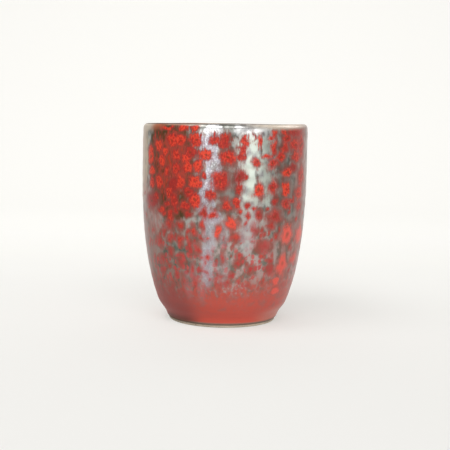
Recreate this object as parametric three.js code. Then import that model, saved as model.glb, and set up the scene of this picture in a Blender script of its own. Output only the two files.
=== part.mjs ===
// A stoneware mug without a handle: a clay body, thrown and then turned on the wheel,
// with one glaze coat fused to its outside and another fused to its inside.
// Millimetres, +Z up. The origin is the centre of the face that the foot ring rests on.
import * as THREE from "three";

// Driving dimensions of the mug, over its glaze
const HEIGHT = 96.6;
const WALL_RADIUS = 40.4;
const WALL_RADIUS_HEIGHT = 72;
const MOUTH_RADIUS = 40.1;
const FOOT_RADIUS = 26.4;

// The turned foot: a hollow bevel, one S curve from a soft shoulder down to a bare band of clay, and a well
// underneath. A reach is how far an end of a curve keeps to its own direction.
const SHOULDER_RADIUS = 32.2;
const SHOULDER_HEIGHT = 10.6;
const SHOULDER_REACH = 3.5;
const BEVEL_REACH = 4;
const BEVEL_FLARE = 0.25;
const BARE_BAND_HEIGHT = 1.5;
const BARE_BAND_FLARE = 0.1;
const FOOT_EDGE_ROUND = 0.6;
const FOOT_RING_WIDTH = 5;
const WELL_DEPTH = 2.4;
const WELL_CORNER = 1.6;
const WELL_DRAFT = 0.4;

// The clay wall, with a thinner lip and a heavier floor
const WALL_THICKNESS = 3.6;
const LIP_THICKNESS = 3.4;
const FLOOR_THICKNESS = 5.2;
const FLOOR_RADIUS = 20;
const FLOOR_DISH = 0.8;

// The curve of the belly: how far its two ends keep to their own directions
const BELLY_FLARE = 0.37;
const BELLY_LOWER_REACH = 0.22;
const BELLY_UPPER_REACH = 0.48;
const CORNER_RADIUS = 34;
const INNER_WALL_REACH = 0.5;

// The glaze: thin where it breaks over the lip, thick where it gathers low down
const GLAZE_LIP = 0.3;
const GLAZE_WALL = 0.45;
const GLAZE_ROLL = 0.65;
const GLAZE_POOL = 0.8;
const GLAZE_THINNING_HEIGHT = 6;
const GLAZE_ROLL_HEIGHT = 7;
const GLAZE_POOL_HEIGHT = 25;
const GLAZE_EDGE_ROUND = 1.1;
const GLAZE_EDGE_SHARE = 0.3;
const BOND_GAP = 0.05;

// What the potter's hands leave: a mouth a little off level and a wall a little off round
const HAND_START_HEIGHT = 20;
const MOUTH_LEAN = 0.4;
const MOUTH_WAVE = 0.15;
const MOUTH_WAVE_COUNT = 3;
const MOUTH_WAVE_TURN = 0.6;
const WALL_OVAL = 0.12;
const WALL_OVAL_TURN = 0.9;

// Facets
const TURN_SEGMENTS = 48;
const FINE_STEPS = 2;
const SHORT_STEPS = 4;
const BEVEL_STEPS = 8;
const LONG_STEPS = 10;

const CLAY = new THREE.MeshStandardMaterial({ color: 0xa8917e, roughness: 0.9, metalness: 0 });
const OUTER_GLAZE = new THREE.MeshStandardMaterial({ color: 0xa9463c, roughness: 0.25, metalness: 0.2 });
const INNER_GLAZE = new THREE.MeshStandardMaterial({ color: 0x8c3b31, roughness: 0.2, metalness: 0.1 });

const { lerp, smoothstep } = THREE.MathUtils;
const point = (radius, height) => new THREE.Vector2(radius, height);
const straight = (a, b) => new THREE.LineCurve(a, b);
const bend = (a, control, b) => new THREE.QuadraticBezierCurve(a, control, b);
const sweep = (a, controlA, controlB, b) => new THREE.CubicBezierCurve(a, controlA, controlB, b);

// A quarter of the round lip, from one angle to another about the lip's centre
const lipQuarter = (centre, round, from, to) =>
  new THREE.EllipseCurve(centre.x, centre.y, round, round, from, to, false);

// Samples a chain of [curve, steps] into points, each with the normal that leads off the clay.
function trace(chain) {
  const samples = [];
  for (const [curve, steps] of chain) {
    for (let i = samples.length ? 1 : 0; i <= steps; i++) {
      const along = curve.getTangent(i / steps);
      samples.push({ at: curve.getPoint(i / steps), normal: point(along.y, -along.x) });
    }
  }
  return samples;
}

// The places that the curves of the clay share
const lipRound = LIP_THICKNESS / 2;
const clayWall = WALL_RADIUS - GLAZE_WALL;
const clayMouth = MOUTH_RADIUS - GLAZE_LIP;
const lipCentre = point(clayMouth - lipRound, HEIGHT - GLAZE_LIP - lipRound);
const bandTop = point(FOOT_RADIUS + BARE_BAND_FLARE, BARE_BAND_HEIGHT);
const shoulder = point(SHOULDER_RADIUS - GLAZE_WALL, SHOULDER_HEIGHT);
const floorHeight = WELL_DEPTH + FLOOR_THICKNESS;

// The underside from the axis outwards: the well, the ring's flat face, its round edge and the bare band.
function footChain() {
  const ringOuter = FOOT_RADIUS - FOOT_EDGE_ROUND;
  const ringInner = ringOuter - FOOT_RING_WIDTH;
  const wellEdge = point(ringInner - WELL_CORNER, WELL_DEPTH);
  return [
    [straight(point(0, WELL_DEPTH), wellEdge), 1],
    [bend(wellEdge, point(ringInner - WELL_DRAFT, WELL_DEPTH), point(ringInner, 0)), SHORT_STEPS],
    [straight(point(ringInner, 0), point(ringOuter, 0)), 1],
    [bend(point(ringOuter, 0), point(FOOT_RADIUS, 0), point(FOOT_RADIUS, FOOT_EDGE_ROUND)), FINE_STEPS],
    [straight(point(FOOT_RADIUS, FOOT_EDGE_ROUND), bandTop), 1],
  ];
}

// The outside that the glaze covers: from the bare band up the bevel, belly and wall to the lip's crest.
function outsideChain() {
  const bevelLow = bandTop.clone().addScaledVector(point(BEVEL_FLARE, 1), BEVEL_REACH);
  const bevelHigh = shoulder.clone().addScaledVector(point(BELLY_FLARE, 1), -SHOULDER_REACH);
  const bellyRise = WALL_RADIUS_HEIGHT - shoulder.y;
  const bellyLow = shoulder.clone().addScaledVector(point(BELLY_FLARE, 1), BELLY_LOWER_REACH * bellyRise);
  const bellyHigh = point(clayWall, WALL_RADIUS_HEIGHT - BELLY_UPPER_REACH * bellyRise);
  const wallTop = point(clayWall, WALL_RADIUS_HEIGHT);
  const lipFoot = point(clayMouth, lipCentre.y);
  return [
    [sweep(bandTop, bevelLow, bevelHigh, shoulder), BEVEL_STEPS],
    [sweep(shoulder, bellyLow, bellyHigh, wallTop), LONG_STEPS],
    [bend(wallTop, point(clayWall, (wallTop.y + lipFoot.y) / 2), lipFoot), SHORT_STEPS],
    [lipQuarter(lipCentre, lipRound, 0, Math.PI / 2), SHORT_STEPS],
  ];
}

// The inside, from the lip's crest down the wall, round the corner and across the dished floor to the axis.
function insideChain() {
  const lipFoot = point(lipCentre.x - lipRound, lipCentre.y);
  const wallTop = point(clayWall - WALL_THICKNESS, WALL_RADIUS_HEIGHT);
  const floorEdge = point(FLOOR_RADIUS, floorHeight + FLOOR_DISH);
  return [
    [lipQuarter(lipCentre, lipRound, Math.PI / 2, Math.PI), SHORT_STEPS],
    [bend(lipFoot, point(wallTop.x, (wallTop.y + lipFoot.y) / 2), wallTop), SHORT_STEPS],
    [sweep(wallTop, point(wallTop.x, INNER_WALL_REACH * WALL_RADIUS_HEIGHT),
      point(CORNER_RADIUS, floorEdge.y), floorEdge), LONG_STEPS],
    [bend(floorEdge, point(FLOOR_RADIUS / 2, floorHeight), point(0, floorHeight)), SHORT_STEPS],
  ];
}

const foot = trace(footChain());
const outside = trace(outsideChain());
const inside = trace(insideChain());

// How thick a coat is on the wall at a height: it thins towards the lip.
function wallCoat(height) {
  const thinning = smoothstep(height, HEIGHT - GLAZE_THINNING_HEIGHT, HEIGHT - GLAZE_LIP);
  return lerp(GLAZE_WALL, GLAZE_LIP, thinning);
}

// The outer coat, which hangs in a roll at its lower edge like a drop that stopped running.
function outerCoat(height) {
  const roll = 1 - smoothstep(height, BARE_BAND_HEIGHT, GLAZE_ROLL_HEIGHT);
  const rise = Math.min(1, (height - BARE_BAND_HEIGHT) / GLAZE_EDGE_ROUND);
  const edge = Math.sqrt(1 - (1 - rise) ** 2);
  return lerp(wallCoat(height), GLAZE_ROLL, roll) * Math.max(edge, GLAZE_EDGE_SHARE);
}

// The inner coat, which pools on the floor.
function innerCoat(height) {
  const pool = 1 - smoothstep(height, floorHeight, GLAZE_POOL_HEIGHT);
  return lerp(wallCoat(height), GLAZE_POOL, pool);
}

// One face of a coat: the clay's samples moved along their normals, away from the clay.
const coatFace = (samples, thickness) =>
  samples.map(({ at, normal }) => at.clone().addScaledVector(normal, thickness(at.y)));

// Leans and waves the mouth and takes the wall off round, from nothing low down to all of it at the lip.
function handThrow(geometry) {
  const places = geometry.getAttribute("position");
  for (let i = 0; i < places.count; i++) {
    const [x, y, z] = [places.getX(i), places.getY(i), places.getZ(i)];
    const angle = Math.atan2(y, x);
    const share = smoothstep(z, HAND_START_HEIGHT, HEIGHT);
    const oval = share * WALL_OVAL * Math.cos(2 * angle + WALL_OVAL_TURN);
    const wave = MOUTH_WAVE * Math.cos(MOUTH_WAVE_COUNT * angle + MOUTH_WAVE_TURN);
    const lift = share * (MOUTH_LEAN * Math.cos(angle) + wave);
    places.setXYZ(i, x + oval * Math.cos(angle), y + oval * Math.sin(angle), z + lift);
  }
  return geometry;
}

// Turns a profile about the mug's axis and gives it the thrown irregularity.
function turned(name, profile, finish) {
  const geometry = new THREE.LatheGeometry(profile, TURN_SEGMENTS).rotateX(Math.PI / 2);
  const mesh = new THREE.Mesh(handThrow(geometry), finish);
  mesh.name = name;
  return mesh;
}

function stonewareBody() {
  const profile = [...foot, ...outside.slice(1), ...inside.slice(1)].map((sample) => sample.at);
  return turned("stoneware_body", profile, CLAY);
}

function outerGlaze() {
  const claySide = coatFace(outside, () => BOND_GAP).reverse();
  const freeSide = coatFace(outside, outerCoat);
  return turned("outer_glaze", [...freeSide, ...claySide, freeSide[0]], OUTER_GLAZE);
}

function innerGlaze() {
  const claySide = coatFace(inside, () => BOND_GAP).reverse();
  const freeSide = coatFace(inside, innerCoat);
  return turned("inner_glaze", [...claySide, ...freeSide], INNER_GLAZE);
}

const mug = new THREE.Group();
mug.add(stonewareBody(), outerGlaze(), innerGlaze());

export default mug;
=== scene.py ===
# %% [markdown]
# # A stoneware mug, red blooms on a silver glaze
# The mug has no handle. It is one thrown lump of clay with two coats of glaze fused to it, one outside and
# one inside. This lesson builds the three pieces finely enough to render, in the place of the plain CAD
# solids, and gives each its finish. All sizes are in metres; the mug stands on z = 0 and its front faces -Y.

# %% Load the frame
import math
from collections import namedtuple

import bmesh
import bpy
import numpy as np
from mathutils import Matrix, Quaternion, Vector


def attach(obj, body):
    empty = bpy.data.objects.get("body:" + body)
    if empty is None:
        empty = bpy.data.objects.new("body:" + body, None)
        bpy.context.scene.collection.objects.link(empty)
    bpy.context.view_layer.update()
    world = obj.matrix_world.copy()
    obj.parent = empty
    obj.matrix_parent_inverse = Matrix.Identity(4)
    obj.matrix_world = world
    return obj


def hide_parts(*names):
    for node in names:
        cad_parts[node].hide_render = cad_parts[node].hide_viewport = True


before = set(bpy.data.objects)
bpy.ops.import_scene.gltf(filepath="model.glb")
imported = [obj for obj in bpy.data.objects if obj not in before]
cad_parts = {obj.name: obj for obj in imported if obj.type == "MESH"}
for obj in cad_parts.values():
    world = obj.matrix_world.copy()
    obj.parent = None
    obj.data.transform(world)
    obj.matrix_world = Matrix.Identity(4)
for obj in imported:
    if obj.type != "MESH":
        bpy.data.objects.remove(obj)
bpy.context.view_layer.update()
print("CAD nodes:", sorted(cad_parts))

# %% [markdown]
# ## The camera
# The photographer stood close, with the lens level with the rim, so the mouth is a straight line and the foot
# shows some of its curve. The focal length is known in pixels of a square picture, which Blender takes as
# millimetres of a 36 mm sensor. The camera rolls by one degree, as a hand-held one does.

# %% Camera
PICTURE_SIDE = 450
FOCAL_PIXELS = 950
SENSOR_WIDTH = 36
EYE = Vector((0.0, -0.4704, 0.098))
AIM = Vector((0.00072, 0.0, 0.0464))
CAMERA_ROLL = math.radians(1.17)

camera = bpy.data.objects.new("camera", bpy.data.cameras.new("camera"))
camera.data.sensor_width = SENSOR_WIDTH
camera.data.lens = SENSOR_WIDTH * FOCAL_PIXELS / PICTURE_SIDE
camera.location = EYE
camera.rotation_mode = "QUATERNION"
camera.rotation_quaternion = (AIM - EYE).to_track_quat("-Z", "Y") @ Quaternion((0, 0, 1), CAMERA_ROLL)
bpy.context.scene.collection.objects.link(camera)
bpy.context.scene.camera = camera
bpy.context.scene.view_settings.view_transform = "Standard"
print("lens:", round(camera.data.lens, 1), "mm")

# %% [markdown]
# ## The profile
# A thrown pot is a profile turned about its axis, so the whole form is a few curves: the well and ring under
# the foot, the hollow bevel, the barrel of the wall, the round lip, and the inside down to a dished floor.
# The sizes are those of the CAD solids. A reach is how far the end of a curve keeps to its own direction.
# Rows lie about half a millimetre apart, so that the glaze can carry fine patterns.

# %% Sizes of the mug
# Over the glaze
HEIGHT = 0.0966
WALL_RADIUS = 0.0404
WALL_RADIUS_HEIGHT = 0.072
MOUTH_RADIUS = 0.0401
FOOT_RADIUS = 0.0264
# The turned foot
SHOULDER_RADIUS = 0.0322
SHOULDER_HEIGHT = 0.0106
SHOULDER_REACH = 0.0035
BEVEL_REACH = 0.004
BEVEL_FLARE = 0.25
BARE_BAND_HEIGHT = 0.0015
BARE_BAND_FLARE = 0.0001
FOOT_EDGE_ROUND = 0.0006
FOOT_RING_WIDTH = 0.005
WELL_DEPTH = 0.0024
WELL_CORNER = 0.0016
WELL_DRAFT = 0.0004
# The clay wall and its curves
WALL_THICKNESS = 0.0036
LIP_THICKNESS = 0.0034
FLOOR_THICKNESS = 0.0052
FLOOR_RADIUS = 0.020
FLOOR_DISH = 0.0008
BELLY_FLARE = 0.37
BELLY_LOWER_REACH = 0.22
BELLY_UPPER_REACH = 0.48
CORNER_RADIUS = 0.034
INNER_WALL_REACH = 0.5
# The glaze
GLAZE_LIP = 0.0003
GLAZE_WALL = 0.00045
GLAZE_ROLL = 0.00065
GLAZE_POOL = 0.0008
GLAZE_THINNING_HEIGHT = 0.006
GLAZE_ROLL_HEIGHT = 0.007
GLAZE_POOL_HEIGHT = 0.025
GLAZE_EDGE_ROUND = 0.0011
GLAZE_EDGE_SHARE = 0.3
BOND_GAP = 0.00005
print("mug:", round(HEIGHT * 1000, 1), "mm tall and", round(2 * WALL_RADIUS * 1000, 1), "mm wide")

# %% Curves that a profile is drawn with
ROW_SPACING = 0.0006
FEWEST_STEPS = 4
LIP_STEPS = 8


def at(radius, height):
    return np.array([radius, height])


def shares(a, b):
    """Shares from 0 to 1, one for each row of a run from a to b."""
    steps = max(FEWEST_STEPS, round(float(np.linalg.norm(b - a)) / ROW_SPACING))
    return np.linspace(0, 1, steps + 1)[:, None]


def straight(a, b):
    return a + shares(a, b) * (b - a)


def bend(a, control, b):
    share = shares(a, b)
    left = 1 - share
    return left**2 * a + 2 * share * left * control + share**2 * b


def sweep(a, control_a, control_b, b):
    share = shares(a, b)
    left = 1 - share
    return left**3 * a + 3 * share * left**2 * control_a + 3 * share**2 * left * control_b + share**3 * b


def lip_quarter(centre, start, end):
    angles = np.radians(np.linspace(start, end, LIP_STEPS + 1))
    return centre + LIP_THICKNESS / 2 * np.stack([np.cos(angles), np.sin(angles)], axis=1)


def joined(*runs):
    """One run of points from several that meet end to start."""
    return np.vstack([runs[0], *(run[1:] for run in runs[1:])])


# %% The three runs of the clay
clay_wall = WALL_RADIUS - GLAZE_WALL
clay_mouth = MOUTH_RADIUS - GLAZE_LIP
lip_centre = at(clay_mouth - LIP_THICKNESS / 2, HEIGHT - GLAZE_LIP - LIP_THICKNESS / 2)
band_top = at(FOOT_RADIUS + BARE_BAND_FLARE, BARE_BAND_HEIGHT)
shoulder = at(SHOULDER_RADIUS - GLAZE_WALL, SHOULDER_HEIGHT)
floor_height = WELL_DEPTH + FLOOR_THICKNESS


def foot_run():
    """The underside from the axis outwards: well, ring, round edge and bare band."""
    ring_outer = FOOT_RADIUS - FOOT_EDGE_ROUND
    ring_inner = ring_outer - FOOT_RING_WIDTH
    well_edge = at(ring_inner - WELL_CORNER, WELL_DEPTH)
    edge_top = at(FOOT_RADIUS, FOOT_EDGE_ROUND)
    return joined(
        straight(at(0, WELL_DEPTH), well_edge),
        bend(well_edge, at(ring_inner - WELL_DRAFT, WELL_DEPTH), at(ring_inner, 0)),
        straight(at(ring_inner, 0), at(ring_outer, 0)),
        bend(at(ring_outer, 0), at(FOOT_RADIUS, 0), edge_top),
        straight(edge_top, band_top),
    )


def outside_run():
    """From the bare band up the bevel, the shoulder, the belly and the wall to the crest of the lip."""
    flare = at(BELLY_FLARE, 1)
    bevel_low = band_top + BEVEL_REACH * at(BEVEL_FLARE, 1)
    rise = WALL_RADIUS_HEIGHT - shoulder[1]
    belly_high = at(clay_wall, WALL_RADIUS_HEIGHT - BELLY_UPPER_REACH * rise)
    wall_top = at(clay_wall, WALL_RADIUS_HEIGHT)
    lip_foot = at(clay_mouth, lip_centre[1])
    return joined(
        sweep(band_top, bevel_low, shoulder - SHOULDER_REACH * flare, shoulder),
        sweep(shoulder, shoulder + BELLY_LOWER_REACH * rise * flare, belly_high, wall_top),
        bend(wall_top, at(clay_wall, (wall_top[1] + lip_foot[1]) / 2), lip_foot),
        lip_quarter(lip_centre, 0, 90),
    )


def inside_run():
    """From the crest of the lip down the wall and across the dished floor to the axis."""
    lip_foot = at(lip_centre[0] - LIP_THICKNESS / 2, lip_centre[1])
    wall_top = at(clay_wall - WALL_THICKNESS, WALL_RADIUS_HEIGHT)
    floor_edge = at(FLOOR_RADIUS, floor_height + FLOOR_DISH)
    wall_low = at(wall_top[0], INNER_WALL_REACH * WALL_RADIUS_HEIGHT)
    return joined(
        lip_quarter(lip_centre, 90, 180),
        bend(lip_foot, at(wall_top[0], (wall_top[1] + lip_foot[1]) / 2), wall_top),
        sweep(wall_top, wall_low, at(CORNER_RADIUS, floor_edge[1]), floor_edge),
        bend(floor_edge, at(FLOOR_RADIUS / 2, floor_height), at(0, floor_height)),
    )


foot, outside, inside = foot_run(), outside_run(), inside_run()
print("profile rows:", len(foot), len(outside), len(inside))

# %% [markdown]
# ## The coats of glaze
# Melted glaze is not equally thick. It drains off the lip, hangs in a small roll at its lower edge and pools
# on the floor inside. Each coat is the clay's own run, pushed away from the clay by a thickness that follows
# the height, so it can never leave the clay or sink into it.

# %% Thickness of the coats
def smoothstep(value, low, high):
    share = np.clip((value - low) / (high - low), 0, 1)
    return share * share * (3 - 2 * share)


def mixed(a, b, share):
    return a + (b - a) * share


def wall_thickness(height):
    thinning = smoothstep(height, HEIGHT - GLAZE_THINNING_HEIGHT, HEIGHT - GLAZE_LIP)
    return mixed(GLAZE_WALL, GLAZE_LIP, thinning)


def outer_thickness(height):
    """The outer coat, with a lower edge rolled under like a drop that stopped running."""
    rolled = 1 - smoothstep(height, BARE_BAND_HEIGHT, GLAZE_ROLL_HEIGHT)
    rise = np.clip((height - BARE_BAND_HEIGHT) / GLAZE_EDGE_ROUND, 0, 1)
    edge = np.sqrt(1 - (1 - rise) ** 2)
    return mixed(wall_thickness(height), GLAZE_ROLL, rolled) * np.maximum(edge, GLAZE_EDGE_SHARE)


def inner_thickness(height):
    pooled = 1 - smoothstep(height, floor_height, GLAZE_POOL_HEIGHT)
    return mixed(wall_thickness(height), GLAZE_POOL, pooled)


def off_clay(run):
    """At each point of a run, the direction that leads away from the clay."""
    along = np.gradient(run, axis=0)
    along /= np.linalg.norm(along, axis=1)[:, None]
    return np.stack([along[:, 1], -along[:, 0]], axis=1)


def pushed(run, thickness):
    """A run moved away from the clay by a thickness; a point on the axis stays on it."""
    moved = run + off_clay(run) * np.broadcast_to(thickness, len(run))[:, None]
    moved[run[:, 0] == 0, 0] = 0
    return moved


outer_face = pushed(outside, outer_thickness(outside[:, 1]))
inner_face = pushed(inside, inner_thickness(inside[:, 1]))
print("glaze on the wall:", GLAZE_WALL * 1000, "mm; pooled on the floor:", GLAZE_POOL * 1000, "mm")

# %% [markdown]
# ## Turning
# A profile becomes a mesh by repeating its rows round the axis. A potter's hands leave the mouth a little off
# level and the wall a little off round, and the same small moves are made to every piece, so they still fit.

# %% Columns, rows and the potter's hands
FULL_TURN = 2 * math.pi
HAND_START_HEIGHT = 0.020
MOUTH_LEAN = 0.0004
MOUTH_WAVE = 0.00015
MOUTH_WAVE_COUNT = 3
MOUTH_WAVE_TURN = 0.6
WALL_OVAL = 0.00012
WALL_OVAL_TURN = 0.9


def turns(segments):
    """The angles of the columns, from the front towards +X."""
    return np.arange(segments) * FULL_TURN / segments


def hand_thrown(points):
    x, y, z = points.T
    angle = np.arctan2(y, x)
    share = smoothstep(z, HAND_START_HEIGHT, HEIGHT)
    oval = share * WALL_OVAL * np.cos(2 * angle + WALL_OVAL_TURN)
    wave = MOUTH_WAVE * np.cos(MOUTH_WAVE_COUNT * angle + MOUTH_WAVE_TURN)
    lift = share * (MOUTH_LEAN * np.cos(angle) + wave)
    return np.stack([x + oval * np.cos(angle), y + oval * np.sin(angle), z + lift], axis=1)


def ring_faces(rows, segments, closed):
    """The four corners of each face between neighbouring rows."""
    row = np.arange(rows if closed else rows - 1)[:, None]
    upper = (row + 1) % rows
    column = np.arange(segments)
    beside = (column + 1) % segments
    corners = [row * segments + column, row * segments + beside,
               upper * segments + beside, upper * segments + column]
    return np.stack(corners, axis=-1).reshape(-1, 4)


# %% Turn a profile into a piece
AXIS_HOLE = 1e-6
SHARP_CORNER = math.radians(40)


def close_axis(mesh):
    """Where a row lies on the axis, its points become one, and edges that lost their faces go."""
    soup = bmesh.new()
    soup.from_mesh(mesh)
    on_axis = [vertex for vertex in soup.verts if vertex.co.xy.length < AXIS_HOLE]
    bmesh.ops.remove_doubles(soup, verts=on_axis, dist=AXIS_HOLE)
    loose = [edge for edge in soup.edges if not edge.link_faces]
    bmesh.ops.delete(soup, geom=loose, context="EDGES")
    soup.to_mesh(mesh)
    soup.free()


def turned(name, profile, segments, relief, closed=False, layers=None):
    """A smooth piece: the profile turned about the axis, with a relief and named values on its points."""
    away = off_clay(profile)
    radius = profile[:, :1] + relief * away[:, :1]
    height = profile[:, 1:] + relief * away[:, 1:]
    turn = turns(segments)
    points = np.stack([radius * np.sin(turn), -radius * np.cos(turn), height + 0 * turn], axis=-1)
    mesh = bpy.data.meshes.new(name)
    faces = ring_faces(len(profile), segments, closed)
    mesh.from_pydata(hand_thrown(points.reshape(-1, 3)).tolist(), [], faces.tolist())
    for layer, values in (layers or {}).items():
        mesh.attributes.new(layer, "FLOAT", "POINT").data.foreach_set("value", values.ravel())
    close_axis(mesh)
    mesh.shade_smooth()
    mesh.set_sharp_from_angle(angle=SHARP_CORNER)
    piece = bpy.data.objects.new(name, mesh)
    bpy.context.scene.collection.objects.link(piece)
    print(name, len(mesh.polygons), "faces")
    return piece


# %% [markdown]
# ## The blooms
# As such a glaze cools, red crystals grow in the silver melt, each from a seed into a ragged bloom. They are
# large near the rim and small towards the foot. They could be one cell pattern in the material, but then
# none would lie where it lies on this mug. So each bloom of the front is a reading of where it shows in the
# picture, cast through the camera on to the wall, and the sides and back are filled by chance in like sizes.

# %% Blooms that show on the front
# For each kind, the middle of a bloom in the picture, across and down, and its width and height, in pixels
FRONT_BLOOMS = {
    "clear": [
        (228, 158, 16, 15), (226, 205, 11, 13), (191, 152, 12, 10), (176, 169, 7, 13), (167, 171, 4, 11),
        (169, 193, 6, 11), (204, 175, 5, 7), (210, 194, 11, 13), (220, 181, 18, 18), (185, 206, 8, 9),
        (174, 201, 7, 13), (167, 203, 5, 6), (162, 209, 7, 6), (170, 215, 7, 9), (188, 214, 7, 7),
        (204, 213, 8, 14), (213, 215, 10, 11), (157, 196, 5, 8), (245, 141, 8, 10), (243, 149, 8, 10),
        (242, 157, 8, 10), (260, 141, 5, 12), (188, 192, 9, 10), (268, 156, 9, 5), (274, 148, 7, 14),
        (275, 135, 6, 8), (270, 138, 5, 6), (256, 163, 8, 9), (273, 164, 11, 13), (284, 132, 6, 8),
        (287, 139, 8, 12), (285, 148, 8, 12), (281, 157, 9, 10), (295, 145, 9, 14), (296, 157, 8, 11),
        (301, 146, 5, 26), (301, 177, 5, 20), (246, 178, 4, 7), (239, 189, 8, 11), (273, 188, 9, 17),
        (237, 203, 8, 11), (275, 203, 6, 10), (286, 204, 8, 11), (292, 202, 6, 6), (299, 206, 5, 11),
        (254, 208, 6, 6), (180, 225, 7, 10), (169, 225, 8, 12), (164, 230, 5, 5), (193, 231, 6, 11),
        (188, 233, 4, 5), (203, 225, 5, 12), (201, 238, 4, 6), (208, 239, 5, 6), (180, 240, 6, 10),
        (169, 239, 5, 6), (160, 241, 5, 11), (190, 248, 5, 15), (198, 250, 7, 11), (171, 252, 5, 8),
        (182, 255, 4, 5), (208, 257, 7, 10), (223, 258, 5, 14), (163, 258, 5, 9), (181, 262, 8, 8),
        (169, 265, 5, 5), (163, 269, 4, 8), (193, 269, 5, 11), (206, 272, 6, 9), (222, 277, 5, 5),
        (184, 280, 5, 10), (195, 284, 5, 15), (210, 281, 5, 5), (220, 285, 6, 6), (271, 226, 7, 7),
        (262, 229, 4, 5), (277, 236, 5, 9), (270, 270, 6, 9), (251, 269, 7, 8), (283, 285, 4, 5),
        (238, 262, 8, 8), (270, 261, 5, 6), (231, 275, 6, 5), (228, 283, 5, 5), (236, 238, 12, 10),
    ],
    "bright": [
        (159, 145, 7, 12), (165, 151, 6, 7), (176, 155, 8, 11), (162, 160, 6, 11), (152, 170, 5, 8),
        (159, 181, 6, 13), (152, 182, 4, 13), (180, 181, 8, 14), (172, 140, 9, 12), (180, 140, 9, 12),
        (195, 140, 13, 13), (205, 155, 13, 13), (186, 158, 9, 9), (187, 167, 10, 10), (198, 166, 9, 13),
        (195, 182, 13, 12), (195, 201, 11, 17), (287, 173, 9, 11), (286, 189, 8, 15), (231, 223, 12, 11),
        (276, 282, 7, 8), (275, 291, 8, 7), (293, 258, 6, 11), (299, 235, 5, 20), (299, 193, 6, 14),
        (183, 127, 10, 6), (167, 128, 11, 4), (195, 128, 6, 8),
    ],
    "dim": [
        (173, 185, 8, 13), (152, 200, 9, 14), (254, 137, 3, 8), (240, 177, 12, 15), (293, 169, 8, 8),
        (247, 207, 6, 8), (275, 217, 14, 13), (258, 215, 8, 11), (254, 229, 7, 14), (264, 247, 14, 11),
        (296, 133, 14, 11),
    ],
    "spiky": [(215, 139, 13, 10), (222, 143, 9, 10), (226, 140, 10, 12)],
    "drop": [(259, 190, 10, 16), (282, 264, 10, 23)],
    "ring": [(151, 155, 5, 18), (287, 235, 11, 21), (218, 232, 8, 14)],
}
print("readings:", {kind: len(readings) for kind, readings in FRONT_BLOOMS.items()})

# %% From the picture to the wall
SIGHT_STEPS = 8


def wall_radius(height):
    return np.interp(height, outer_face[:, 1], outer_face[:, 0])


def wall_place(pixel_x, pixel_y):
    """The turn and the height at which the line of sight through a pixel meets the mug."""
    half = PICTURE_SIDE / 2
    line = camera.rotation_quaternion @ Vector((pixel_x - half, half - pixel_y, -FOCAL_PIXELS))
    height = HEIGHT / 2
    for _ in range(SIGHT_STEPS):
        along = line.xy.length_squared
        towards = EYE.xy.dot(line.xy)
        beyond = EYE.xy.length_squared - wall_radius(height) ** 2
        share = (-towards - math.sqrt(max(towards**2 - along * beyond, 0))) / along
        meets = EYE + share * line
        height = meets.z
    return math.atan2(meets.x, -meets.y), height


# %% One bloom
# A kind says how bright its blooms are, how common among those thrown by chance, how brown at the heart,
# and how much narrower at the top
Kind = namedtuple("Kind", "tone share heart taper", defaults=(0.0, 0.0))
KINDS = {
    "clear": Kind(0.6, 0.5),
    "bright": Kind(1.0, 0.2),
    "dim": Kind(0.3, 0.18),
    "spiky": Kind(0.6, 0.04),
    "drop": Kind(1.1, 0.04, heart=0.6, taper=0.45),
    "ring": Kind(1.1, 0.04, heart=1.0),
}
TONE_SPREAD = 0.2
FEWEST_PETALS, MOST_PETALS = 5, 9
PETAL_DEPTH = 0.10
chance = np.random.default_rng(21)
Bloom = namedtuple("Bloom", "turn height half_wide half_tall tone petals petal_depth petal_turn taper heart")


def bloom(turn, height, half_wide, half_tall, kind="clear"):
    """A bloom of a kind, with petals of its own."""
    return Bloom(
        turn, height, half_wide, half_tall,
        tone=KINDS[kind].tone + TONE_SPREAD * chance.uniform(-1, 1),
        petals=chance.integers(FEWEST_PETALS, MOST_PETALS),
        petal_depth=PETAL_DEPTH * chance.random(),
        petal_turn=chance.uniform(0, FULL_TURN),
        taper=KINDS[kind].taper,
        heart=KINDS[kind].heart,
    )


def seen_bloom(x, y, wide, tall, kind):
    """A bloom at a place and of a size in pixels of the picture."""
    turn, height = wall_place(x, y)
    left, right = (wall_place(x + side * wide / 2, y)[0] for side in (-1, 1))
    low, high = (wall_place(x, y - side * tall / 2)[1] for side in (-1, 1))
    return bloom(turn, height, wall_radius(height) * (right - left) / 2, (high - low) / 2, kind)


front_blooms = [seen_bloom(*reading, kind) for kind, readings in FRONT_BLOOMS.items() for reading in readings]
print("blooms read from the front:", len(front_blooms))

# %% Large blooms by chance, on the sides and back and inside
FRONT_HALF_TURN = math.radians(87)
OUTER_TRIES, OUTER_LOW = 2600, 0.018
INNER_TRIES, INNER_LOW, INNER_TOP = 1400, 0.03, HEIGHT - 0.004
CROWDING = 0.8
LOW_HALF_WIDTH, HIGH_HALF_WIDTH = 0.0013, 0.0040
GROWTH_HEIGHTS = (0.015, 0.08)
WIDTH_SPREAD = (0.55, 1.2)
STRETCH = (1.0, 1.6)


def scattered(tries, first_turn, last_turn, low, high):
    """Blooms thrown at random, each kept only if it doesn't crowd those already there."""
    kept = []
    for _ in range(tries):
        turn = chance.uniform(first_turn, last_turn)
        height = chance.uniform(low, high)
        usual = mixed(LOW_HALF_WIDTH, HIGH_HALF_WIDTH, smoothstep(height, *GROWTH_HEIGHTS))
        half_wide = usual * chance.uniform(*WIDTH_SPREAD)
        half_tall = half_wide * chance.uniform(*STRETCH)
        radius = wall_radius(height)
        clear = all(
            math.hypot((turn - other.turn) * radius, height - other.height)
            > CROWDING * (half_tall + other.half_tall)
            for other in kept
        )
        if clear:
            kind = chance.choice(list(KINDS), p=[one.share for one in KINDS.values()])
            kept.append(bloom(turn, height, half_wide, half_tall, kind))
    return kept


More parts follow.
